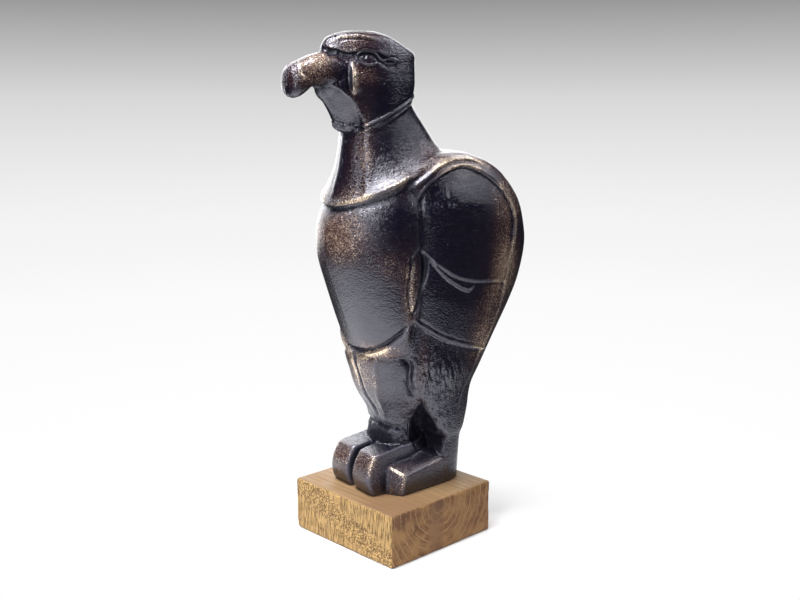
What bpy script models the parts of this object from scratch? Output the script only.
"""Cast iron eagle on a wooden plinth.

The object is two pieces: one iron casting, the eagle, and the oak block that it stands on.
The eagle is drawn in its own units, 310 of them from its soles to its crown, and scaled to
EAGLE_HEIGHT. It faces -Y, its left side is +X, and its soles are at height 0 in that drawing.
Its masses are lofts through a few level or sloping rings. They are fused into one skin with
a voxel remesh, the carved lines are pressed into that skin, and the skin is then thinned out.
"""

import math

import bmesh
import bpy
import numpy as np
from mathutils import Matrix

# Driving dimensions, in metres.
EAGLE_HEIGHT = 0.310
PLINTH_WIDTH = 0.100
PLINTH_DEPTH = 0.096
PLINTH_HEIGHT = 0.037
PLINTH_EDGE = 0.0010

# How the bird stands on its plinth.
EAGLE_TURN = math.radians(-7.5)
EAGLE_SHIFT_X = -0.0041
SEAT_GAP = 0.0003

# The bird's own drawing units, and the fineness of its skin.
DRAWN_HEIGHT = 310.0
UNIT = EAGLE_HEIGHT / DRAWN_HEIGHT
VOXEL = 1.5 * UNIT
SOLE_OVERRUN = 4.0
EAGLE_TRIANGLES = 9000
RING_POINTS = 72
RINGS_PER_STATION = 5

COLLECTION = "cast_iron_eagle"

# Each ring of a mass: height, half width, front, widest place, rear, front power, rear power
# and slope. Powers above 2 make a ring boxier, and below 2 give it a ridge. A sloping ring
# climbs by its slope for each unit that it runs back from its widest place.
BODY = (
    (-SOLE_OVERRUN, 31.5, 12, 24, 49, 3.0, 2.4, 0),
    (0, 31.5, 12, 24, 49, 3.0, 2.4, 0),
    (20, 31.5, 20, 26, 50, 3.0, 2.4, 0),
    (31, 31, 24, 30, 50.5, 3.0, 2.4, 0),
    (37, 32, 19, 28, 54, 3.0, 2.5, 0),
    (50, 33, 9, 26, 57.5, 3.0, 2.6, 0),
    (60, 34, -1, 24, 59, 3.0, 2.6, 0),
    (69, 35, -10, 22, 61.5, 3.0, 2.7, 0),
    (80, 37, -13, 22, 67.5, 3.0, 2.8, 0),
    (103, 41, -14, 23, 79, 3.0, 3.0, 0),
    (125, 44.5, -15, 26, 90, 3.0, 3.2, 0),
    (143, 46.5, -15, 28, 97, 3.0, 3.4, 0),
    (165, 47.8, -14, 30, 101.5, 3.0, 3.5, 0),
    (182, 47.8, -14, 30, 99.5, 3.0, 3.5, 0),
    (197, 47, -16, 31, 94, 3.0, 3.5, 0),
    (210, 45.5, -20, 32, 83.5, 3.0, 3.5, 0),
    (221, 43, -17, 32, 70, 3.0, 3.5, 0),
    (229, 38, 5, 31, 52, 3.0, 3.0, 0),
    (231.5, 24, 16, 31, 44, 2.5, 2.5, 0),
)
BREAST = (
    (92, 29, -24, -4, 20, 1.9, 2, 0),
    (98, 33, -27.5, -5, 20, 1.9, 2, 0),
    (112, 37.5, -33.2, -6, 20, 1.9, 2, 0),
    (127, 40, -38.8, -7, 20, 1.9, 2, 0),
    (146, 41.5, -46, -7, 20, 1.9, 2, 0),
    (160, 42, -50.8, -7, 20, 1.9, 2, 0),
    (172, 42, -52.5, -7, 20, 1.9, 2, 0),
    (185, 41.5, -51.5, -7, 20, 1.9, 2, 0),
    (197, 40.5, -46.5, -7, 20, 1.9, 2, 0),
    (208, 37, -38, -7, 20, 1.9, 2, 0),
)
LEGS = (
    (22, 22, -16, 0, 30, 2.4, 2, 0),
    (32, 20, -12, 0, 26, 2.4, 2, 0),
    (39, 19, -10, -1, 22, 2.4, 2, 0),
    (46, 20, -9.8, -1, 21, 2.4, 2, 0),
    (52, 23, -11.8, 0, 21, 2.2, 2, 0),
    (58, 27, -15.6, 3, 22, 2.0, 2, 0),
    (65, 31, -20.5, 5, 26, 1.85, 2, 0),
    (76, 34.5, -25, 5, 26, 1.8, 2, 0),
    (90, 36.5, -27.5, 5, 26, 1.8, 2, 0),
    (97, 35, -26.5, 5, 26, 1.8, 2, 0),
    (105, 28, -20, 5, 22, 1.8, 2, 0),
)
NECK = (
    (209, 36, -43, -10, 25, 1.9, 2.2, 0.48),
    (214.8, 39, -48.3, -10, 32, 1.9, 2.2, 0.48),
    (217, 36.5, -47.0, -11, 31.5, 1.9, 2.1, 0.48),
    (224, 29, -43.2, -12, 29, 1.9, 2.0, 0.48),
    (235, 24, -39.2, -12, 23.5, 1.9, 2.0, 0.48),
    (248, 22, -36.7, -12, 16.0, 1.9, 2.0, 0.48),
    (258, 21.5, -35, -12, 13, 1.9, 2.0, 0.48),
)
HEAD = (
    (252.5, 21.5, -33, -12, 12.5, 1.9, 2.2, 0.48),
    (254.5, 23, -35.5, -12, 13.5, 1.9, 2.3, 0.48),
    (262, 23, -46, -12, 14.2, 1.5, 2.5, 0.40),
    (270, 23, -53.4, -12, 14.5, 1.5, 2.6, 0.22),
    (277, 23, -58.5, -12, 14.5, 1.6, 2.6, 0.08),
    (288, 22.5, -55, -12, 14.5, 1.6, 2.6, 0),
    (295, 21.8, -52.5, -12, 14.0, 1.7, 2.6, 0),
    (300, 20.6, -51.5, -13, 4.8, 1.7, 2.5, 0),
    (304.6, 18.2, -47.5, -17, -4, 1.75, 2.4, 0),
    (307.5, 12.6, -40, -20, -9, 1.9, 2.2, 0),
    (309.0, 7, -33, -22, -14, 2.0, 2.0, 0),
)
# Each ring of the beak: how far forward, top, bottom, half width.
BEAK = (
    (-30, 296, 268, 15),
    (-45, 296.5, 271, 13),
    (-55, 295, 273.5, 12),
    (-63, 292.5, 273, 12),
    (-69, 290, 268.5, 11.5),
    (-74, 287.5, 266.5, 10.5),
    (-78, 284, 268.5, 7.5),
    (-79.5, 279, 273, 3.5),
)
# Each ring of the inner toe: height, front, half width and slope.
TOE_INSIDE = 1.3
TOE_OUTSIDE = 24.8
TOE_WIDEST = -8
TOE_POWERS = (8.0, 2.2)
TOE_REAR = 21
INNER_TOE = (
    (-SOLE_OVERRUN, -30.8, 11.7, 0),
    (0, -31.6, 12.1, 0),
    (4, -33.6, 12.1, 0),
    (11, -34.8, 11.7, 0.02),
    (19, -34.0, 11.0, 0.06),
    (25, -31.6, 10.6, 0.10),
    (28.6, -29.6, 10.4, 0.13),
    (29.8, -28.6, 10.0, 0.13),
    (30.1, -27.2, 9.3, 0.13),
)
# The outer toe is a sloping box: its corners, and how its top and front slope.
OUTER_TOE_LOW = (20, -19.1, -SOLE_OVERRUN)
OUTER_TOE_HIGH = (35.8, 31, 19)
OUTER_TOE_MIDDLE = 29.6
OUTER_TOE_EDGE = 1.3
OUTER_TOE_RISE = 0.11
OUTER_TOE_FALL = 0.5
OUTER_TOE_SPLAY = 0.6
OUTER_TOE_LEAN = 3.0
OUTER_TOE_TAPER = 4.5


def fair(stations, steps):
    """Smooth rows between the stations, by a curve through every column."""
    rows = np.array(stations, dtype=float)
    padded = np.vstack([2 * rows[0] - rows[1], rows, 2 * rows[-1] - rows[-2]])
    out = []
    for k in range(len(rows) - 1):
        a, b, c, d = padded[k : k + 4]
        for t in np.linspace(0, 1, steps, endpoint=False):
            out.append(
                0.5 * (2 * b + (c - a) * t + (2 * a - 5 * b + 4 * c - d) * t**2
                       + (3 * b - a - 3 * c + d) * t**3)
            )
    out.append(rows[-1])
    return out


def superellipse(angle, power):
    """Sine and cosine of a ring that bulges by its power."""
    s, c = math.sin(angle), math.cos(angle)
    return (
        math.copysign(abs(s) ** (2 / power), s),
        math.copysign(abs(c) ** (2 / power), c),
    )


def level_ring(row):
    height, half_width, front, widest, rear, front_power, rear_power, slope = row
    ring = []
    for k in range(RING_POINTS):
        angle = 2 * math.pi * k / RING_POINTS
        forward = math.cos(angle) > 0
        s, c = superellipse(angle, front_power if forward else rear_power)
        y = widest - c * ((widest - front) if forward else (rear - widest))
        ring.append((s * half_width, y, height + slope * (y - widest)))
    return ring


def upright_ring(row):
    y, top, bottom, half_width = row
    ring = []
    for k in range(RING_POINTS):
        s, c = superellipse(2 * math.pi * k / RING_POINTS, 2.6)
        ring.append((s * half_width, y, (top + bottom) / 2 - c * (top - bottom) / 2))
    return ring


def add_loft(bm, rings):
    """A closed solid through the rings, with a cap at each end."""
    loops = [[bm.verts.new(p) for p in ring] for ring in rings]
    count = len(loops[0])
    for low, high in zip(loops, loops[1:]):
        for k in range(count):
            m = (k + 1) % count
            bm.faces.new((low[k], low[m], high[m], high[k]))
    bm.faces.new(loops[0][::-1])
    bm.faces.new(loops[-1])


def add_block(bm, low, high, edge, sloped):
    """A box between two corners with rounded edges; sloped() places its corners first."""
    made = bmesh.ops.create_cube(bm, size=1)["verts"]
    for v in made:
        for axis in range(3):
            v.co[axis] = low[axis] if v.co[axis] < 0 else high[axis]
        v.co = sloped(v.co.copy())
    edges = list({e for v in made for e in v.link_edges})
    bmesh.ops.bevel(
        bm, geom=edges, offset=edge, offset_type="OFFSET", segments=4, profile=0.5, affect="EDGES"
    )


def add_inner_toe(bm, side):
    """The tall inner toe of one foot; side is 1 for the bird's left foot and -1 for its right."""
    middle = side * (TOE_INSIDE + TOE_OUTSIDE) / 2
    rings = []
    for height, front, half_width, slope in fair(INNER_TOE, RINGS_PER_STATION):
        ring = level_ring((height, half_width, front, TOE_WIDEST, TOE_REAR, *TOE_POWERS, slope))
        rings.append([(x + middle, y, z) for x, y, z in ring])
    add_loft(bm, rings)


def add_outer_toe(bm, side):
    """The low outer toe, a box whose top falls outward and rises to the rear."""

    def sloped(p):
        if p.z > 0:
            p.z += OUTER_TOE_RISE * (p.y - OUTER_TOE_LOW[1]) - OUTER_TOE_FALL * (p.x - TOE_OUTSIDE)
        if p.y > 0:
            p.x -= OUTER_TOE_TAPER * (p.x > OUTER_TOE_LOW[0])
        else:
            p.y += OUTER_TOE_SPLAY * (p.x - OUTER_TOE_MIDDLE) + OUTER_TOE_LEAN * (p.z > 0)
        p.x *= side
        return p

    add_block(bm, OUTER_TOE_LOW, OUTER_TOE_HIGH, OUTER_TOE_EDGE, sloped)


def eagle_masses():
    bm = bmesh.new()
    for stations in (BODY, BREAST, LEGS, NECK, HEAD):
        add_loft(bm, [level_ring(row) for row in fair(stations, RINGS_PER_STATION)])
    add_loft(bm, [upright_ring(row) for row in fair(BEAK, RINGS_PER_STATION)])
    for side in (1, -1):
        add_inner_toe(bm, side)
        add_outer_toe(bm, side)
    bmesh.ops.recalc_face_normals(bm, faces=bm.faces)
    bmesh.ops.scale(bm, vec=(UNIT, UNIT, UNIT), verts=bm.verts)
    mesh = bpy.data.meshes.new("eagle_masses")
    bm.to_mesh(mesh)
    bm.free()
    return mesh


def evaluated_mesh(obj):
    graph = bpy.context.evaluated_depsgraph_get()
    graph.update()
    return bpy.data.meshes.new_from_object(obj.evaluated_get(graph), depsgraph=graph)


def fused(mesh):
    """One skin round all the masses."""
    obj = bpy.data.objects.new("eagle_masses", mesh)
    bpy.context.scene.collection.objects.link(obj)
    remesh = obj.modifiers.new("skin", "REMESH")
    remesh.mode = "VOXEL"
    remesh.voxel_size = VOXEL
    remesh.use_smooth_shade = True
    soften = obj.modifiers.new("soften", "SMOOTH")
    soften.factor = 0.5
    soften.iterations = 2
    skin = evaluated_mesh(obj)
    bpy.data.objects.remove(obj)
    return skin


# The carved lines lie on the bird's sides, as (how far back, height) in drawing units.
RIM_CREST = ((-12, 206), (-8, 210.5), (0, 216), (9, 222), (19, 226), (31, 227.5), (42, 226), (56, 220))
RIM_LINE = (
    (-6, 194), (-3.5, 203), (1, 209.5), (8, 214.5), (19, 220), (31, 221.8), (44, 218.5), (57, 211),
    (68, 201.5), (75, 190), (76.5, 180), (74, 168), (70.5, 156), (68.5, 142), (66, 124), (57, 98),
    (48, 79), (39, 64), (33, 46),
)
FIRST_STEP = ((-5, 171), (3, 161.5), (17, 151.5), (34, 145), (54, 142.5), (70, 141))
CRESCENT = ((1, 164.5), (8.5, 155), (15, 148.5), (26, 141.5), (34, 138.5), (40, 142.5))
SECOND_STEP = ((-9, 122), (-1, 116), (13.5, 107), (31.5, 100), (54, 93), (62, 91))
PANEL_FRONT = ((-2.5, 206), (-4, 190), (-4, 176), (-1.5, 167))
BREAST_GROOVE = ((-11.5, 173), (-11.5, 161), (-13, 148), (-13, 137), (-9, 123))
STRIP_REAR = ((-1, 167), (-0.5, 156), (-2.5, 147), (-5, 136), (-8.5, 125))
SHIELD_LINE = ((-40, 86), (-30, 94), (-24, 101), (-17, 111), (-10, 119.5))
COLLAR_LINE = ((-70, 186.5), (-48, 197.3), (-36, 203.5), (-22, 210), (-6, 217.5))
FLANK_GROOVE = ((-10, 98), (-6.5, 88.5), (-6.2, 80), (-4.5, 73), (-1, 65))
FLANK_REAR = ((6, 98), (8.5, 88), (8, 72), (6, 62))
HOLLOW_FRONT = ((4, 66), (5.5, 58), (5, 50), (4, 43), (3.5, 36), (4, 26))
HOLLOW_REAR = ((2, 67), (6, 60), (11.2, 53.5), (16.6, 46), (22, 36), (25, 27))
ANKLE_FOLD = 44.5
BROW = (
    (-53, 298.5), (-47.5, 296.8), (-41.5, 294.7), (-36, 295.4), (-29, 296.8), (-21.5, 294.8),
    (-15, 291.8), (-7, 289.8),
)
UPPER_LID = (
    (-36.2, 292), (-35.2, 294.2), (-32.7, 295.5), (-30, 296), (-26.9, 295.7), (-23.9, 294.5),
    (-22, 291.9), (-19.6, 290.3), (-15.1, 290.8), (-10.2, 290.2), (-8.6, 289.3),
)
LOWER_LID = (
    (-36.4, 292.1), (-35.2, 289.3), (-32.2, 287.9), (-28.5, 287.3), (-24.9, 287.9), (-21.8, 289.8),
)
CHEEK = ((-38.6, 268), (-39.5, 271.5), (-40.3, 276), (-40.1, 281), (-39.9, 285), (-39.3, 290))
MOUTH = (
    (-69, 270.5), (-62, 272.5), (-57.6, 274), (-53.4, 274.8), (-48.1, 272.4), (-42.2, 267.8),
    (-37, 264.5),
)
THROAT_REAR = ((-37, 265), (-35, 259), (-32, 252), (-30, 244))
THROAT_SLOPE = 0.3
CROWN = (
    (-49.4, 299.5), (-46.1, 303), (-43, 304.6), (-38, 305), (-32, 305), (-27, 304.3), (-20, 302.5),
)
BEAK_TOP = ((-51.5, 298.4), (-49, 296.9), (-45.5, 294.8))
BEAK_EDGE = ((-70.5, 290), (-73.5, 286), (-74.3, 281.5), (-71.5, 277.5))
EYE_CENTRE = (-29, 291.6)
EYE_HALF_LENGTH = 6.6
EYE_HALF_HEIGHT = 3.6
HEAD_LINE_HEIGHT = 255.6
HEAD_LINE_SLOPE = 0.48
UNDERSIDE_CALM = 0.85


def line_distance(y, z, points):
    """Signed distance from a line, positive on its right, and the place along it from 0 to 1."""
    line = np.array(fair(points, 5))
    lengths = np.hypot(*np.diff(line, axis=0).T)
    reach = np.concatenate([[0], np.cumsum(lengths)])
    best = np.full(len(y), 1e9)
    signed = np.zeros(len(y))
    place = np.zeros(len(y))
    for k in range(len(line) - 1):
        (ay, az), (by, bz) = line[k], line[k + 1]
        dy, dz = by - ay, bz - az
        t = np.clip(((y - ay) * dy + (z - az) * dz) / (dy * dy + dz * dz), 0, 1)
        ey, ez = y - (ay + t * dy), z - (az + t * dz)
        distance = np.hypot(ey, ez)
        nearer = distance < best
        side = np.where(ey * dz - ez * dy > 0, 1.0, -1.0)
        best = np.where(nearer, distance, best)
        signed = np.where(nearer, side * distance, signed)
        place = np.where(nearer, (reach[k] + t * lengths[k]) / reach[-1], place)
    return signed, place


def ramp(value, low, high):
    t = np.clip((value - low) / (high - low), 0, 1)
    return t * t * (3 - 2 * t)


def lap(signed, depth, run, edge=0.9):
    """A drop just past the line that climbs back over its run, as one layer laps another."""
    return -depth * ramp(signed, -edge, edge) * (1 - ramp(signed, edge, run))


def bead(signed, height, width):
    """A rounded ridge along a line, or a groove where the height is negative."""
    return height * np.exp(-((signed / width) ** 2))


def faded(place, start, end):
    """1 along a line, falling to 0 over a share of its length at either end."""
    return ramp(place, 0, max(start, 1e-6)) * (1 - ramp(place, 1 - max(end, 1e-6), 1))


def wing_relief(width, y, z):
    on_side = ramp(width, 22, 29)
    out = np.zeros(len(y))
    signed, place = line_distance(y, z, RIM_CREST)
    out += (bead(signed, 1.3, 1.7) + lap(-signed, 0.9, 7)) * faded(place, 0.1, 0.3) * ramp(width, 30, 35)
    signed, place = line_distance(y, z, RIM_LINE)
    upper = 1 - 0.6 * ramp(place, 0.45, 0.6)
    out += lap(signed, 1.9, 24) * upper * faded(place, 0.04, 0.1)
    signed, place = line_distance(y, z, FIRST_STEP)
    out += lap(signed, 1.3, 20) * faded(place, 0.03, 0.04)
    signed, place = line_distance(y, z, CRESCENT)
    out += bead(signed, 1.2, 1.3) * faded(place, 0.1, 0.1)
    signed, place = line_distance(y, z, SECOND_STEP)
    out += lap(signed, 1.8, 20) * faded(place, 0.06, 0.12)
    signed, place = line_distance(y, z, PANEL_FRONT)
    out += bead(signed, -0.8, 1.8) * faded(place, 0.1, 0.1)
    return out * on_side


def body_relief(width, y, z):
    out = np.zeros(len(y))
    signed, place = line_distance(y, z, COLLAR_LINE)
    out += (lap(signed, 1.2, 9) + bead(signed + 1.4, 0.6, 1.4)) * faded(place, 0, 0.08) * ramp(-y, 4, 8)
    signed, place = line_distance(y, z, BREAST_GROOVE)
    out += bead(signed, -1.2, 1.5) * faded(place, 0.25, 0.05)
    signed, place = line_distance(y, z, STRIP_REAR)
    out += bead(signed, -1.7, 1.6) * faded(place, 0.08, 0.05)
    signed, place = line_distance(y, z, SHIELD_LINE)
    ledge = ramp(signed, -0.9, 0.9) * (1 - ramp(signed, 2, 17))
    out += (2.2 * ledge + bead(signed + 1.4, -0.8, 1.3)) * faded(place, 0, 0.1) * ramp(-y, 6, 12)
    signed, place = line_distance(y, z, FLANK_GROOVE)
    out += bead(signed, -2.8, 2.4) * faded(place, 0.2, 0.2)
    signed, place = line_distance(y, z, FLANK_REAR)
    out += bead(signed, -0.9, 2.0) * faded(place, 0.25, 0.25)
    behind_leg, place = line_distance(y, z, HOLLOW_FRONT)
    before_wing, place = line_distance(y, z, HOLLOW_REAR)
    inside = ramp(-behind_leg, -0.8, 3) * ramp(before_wing, -0.6, 1.6)
    out -= 3.2 * inside * ramp(z, 25, 33) * (1 - ramp(z, 58, 66)) * ramp(width, 10, 15)
    below_fold = ANKLE_FOLD + 0.01 * (width - 12) ** 2 - z
    fold = -1.3 * ramp(below_fold, -0.4, 0.8) * (1 - ramp(below_fold, 2.5, 7))
    out += fold * ramp(-y, -2, 3) * (1 - ramp(width, 17, 20))
    thigh = ramp(z, 46, 54) * (1 - ramp(z, 92, 98)) * ramp(-y, 0, 6)
    out += thigh * bead(width, -2.4, 1.8)
    out += thigh * bead(width - (11 + 0.17 * (z - 58)), 0.9, 2.2)
    neck = ramp(z, 198, 212) * (1 - ramp(z, 246, 252)) * ramp(-y, 16, 24)
    ridge_at = 15.4 + 0.0055 * np.clip(247 - z, 0, 60) ** 2
    out += neck * (bead(width, 1.0, 2.6) + bead(width - ridge_at, 0.9, 2.6))
    back = ramp(y, 25, 35)
    out += back * bead(width, -2.2, 2.4) * ramp(z, 62, 90) * (1 - ramp(z, 215, 230))
    out += back * bead(width - 7, -1.0, 1.4) * (1 - ramp(z, 58, 84))
    return out


def head_relief(width, y, z):
    out = np.zeros(len(y))
    line = z - (HEAD_LINE_HEIGHT + HEAD_LINE_SLOPE * (y + 12))
    out += (bead(line, -1.1, 1.1) + bead(line - 2.2, 0.5, 1.2)) * (y < 30)
    out += bead(width, 0.9, 1.2) * ramp(z, 238, 243) * (1 - ramp(z, 268, 274)) * (y < -20) * (line > 0)
    off_centre = ramp(width, 3, 7) * (z > 255)
    signed, place = line_distance(y, z, BROW)
    brow = lap(signed, 2.0, 9) + bead(signed + 1.4, 0.4, 1.5)
    out += brow * faded(place, 0.05, 0.2) * off_centre
    signed, place = line_distance(y, z, BEAK_TOP)
    out += bead(signed, 0.9, 1.0) * faded(place, 0.2, 0.3) * off_centre
    ey = (y - EYE_CENTRE[0]) / EYE_HALF_LENGTH
    ez = (z - EYE_CENTRE[1]) / EYE_HALF_HEIGHT
    out += 1.1 * np.clip(1 - ey**2 - ez**2, 0, 1) * off_centre
    signed, place = line_distance(y, z, UPPER_LID)
    out += bead(signed, 1.5, 0.9) * faded(place, 0.05, 0.08) * off_centre
    signed, place = line_distance(y, z, LOWER_LID)
    out += bead(signed, 0.9, 0.8) * faded(place, 0.1, 0.15) * off_centre
    signed, place = line_distance(y, z, CHEEK)
    fold = 1.5 * ramp(signed, -0.9, 0.9) * (1 - ramp(signed, 1.0, 10))
    fold += bead(signed - 0.9, 1.2, 1.2) + bead(signed + 1.6, -0.7, 1.3)
    out += fold * faded(place, 0.3, 0.45) * off_centre
    signed, place = line_distance(y, z, MOUTH)
    out += lap(signed, 1.2, 30) * faded(place, 0.15, 0.4) * off_centre
    below_beak = np.clip(signed, 0, 14) * ramp(place, 0.2, 0.35)
    before_edge, place = line_distance(y, z, THROAT_REAR)
    out -= THROAT_SLOPE * below_beak * ramp(before_edge, -1.5, 2) * ramp(line, -2, 1)
    signed, place = line_distance(y, z, CROWN)
    out += bead(signed, 1.0, 1.3) * faded(place, 0.4, 0.4) * off_centre
    signed, place = line_distance(y, z, BEAK_EDGE)
    out += bead(signed, 0.8, 1.6) * faded(place, 0.2, 0.2) * off_centre
    return out


def relief(x, y, z):
    """How far each point of the skin moves out, in drawing units."""
    width = np.abs(x)
    return wing_relief(width, y, z) + body_relief(width, y, z) + head_relief(width, y, z)


def carve(mesh):
    count = len(mesh.vertices)
    co = np.empty(count * 3)
    mesh.vertices.foreach_get("co", co)
    co = co.reshape(-1, 3)
    normal = np.empty(count * 3)
    mesh.vertices.foreach_get("normal", normal)
    normal = normal.reshape(-1, 3)
    x, y, z = (co / UNIT).T
    height = relief(x, y, z) * UNIT
    # Undersides stay smooth, because a line carved from the side would smear across them.
    height *= 1 - UNDERSIDE_CALM * ramp(-normal[:, 2], 0.5, 0.85)
    moved = co + normal * height[:, None]
    mesh.vertices.foreach_set("co", moved.ravel())
    mesh.update()


def flat_sole(mesh):
    """Cuts the overrun off below the soles, so that the bird stands on flat faces."""
    bm = bmesh.new()
    bm.from_mesh(mesh)
    cut = bmesh.ops.bisect_plane(
        bm, geom=bm.verts[:] + bm.edges[:] + bm.faces[:], dist=1e-6,
        plane_co=(0, 0, 0), plane_no=(0, 0, -1), clear_outer=True,
    )
    rim = [e for e in cut["geom_cut"] if isinstance(e, bmesh.types.BMEdge)]
    bmesh.ops.holes_fill(bm, edges=rim, sides=0)
    bmesh.ops.recalc_face_normals(bm, faces=bm.faces)
    bm.to_mesh(mesh)
    bm.free()


def material(name, colour, metallic, roughness):
    made = bpy.data.materials.new(name)
    made.use_nodes = True
    shader = made.node_tree.nodes["Principled BSDF"]
    shader.inputs["Base Color"].default_value = (*colour, 1)
    shader.inputs["Metallic"].default_value = metallic
    shader.inputs["Roughness"].default_value = roughness
    return made


def make_eagle(collection):
    skin = fused(eagle_masses())
    carve(skin)
    flat_sole(skin)
    skin.name = "eagle"
    skin.shade_smooth()
    eagle = bpy.data.objects.new("eagle", skin)
    collection.objects.link(eagle)
    thin = eagle.modifiers.new("thin", "DECIMATE")
    thin.ratio = EAGLE_TRIANGLES / sum(len(p.vertices) - 2 for p in skin.polygons)
    eagle.location = (
        EAGLE_SHIFT_X * math.cos(EAGLE_TURN),
        EAGLE_SHIFT_X * math.sin(EAGLE_TURN),
        PLINTH_HEIGHT + SEAT_GAP,
    )
    eagle.rotation_euler.z = EAGLE_TURN
    eagle.data.materials.append(material("patinated_iron", (0.035, 0.028, 0.030), 0.85, 0.32))
    return eagle


def make_plinth(collection):
    bm = bmesh.new()
    bmesh.ops.create_cube(
        bm, size=1, matrix=Matrix.Diagonal((PLINTH_WIDTH, PLINTH_DEPTH, PLINTH_HEIGHT, 1))
    )
    mesh = bpy.data.meshes.new("plinth")
    bm.to_mesh(mesh)
    bm.free()
    plinth = bpy.data.objects.new("plinth", mesh)
    plinth.location.z = PLINTH_HEIGHT / 2
    collection.objects.link(plinth)
    edge = plinth.modifiers.new("worn_edges", "BEVEL")
    edge.width = PLINTH_EDGE
    edge.segments = 2
    mesh.materials.append(material("oak", (0.42, 0.24, 0.10), 0.0, 0.6))
    return plinth


def main():
    for obj in list(bpy.data.objects):
        bpy.data.objects.remove(obj)
    collection = bpy.data.collections.new(COLLECTION)
    bpy.context.scene.collection.children.link(collection)
    make_plinth(collection)
    make_eagle(collection)


main()
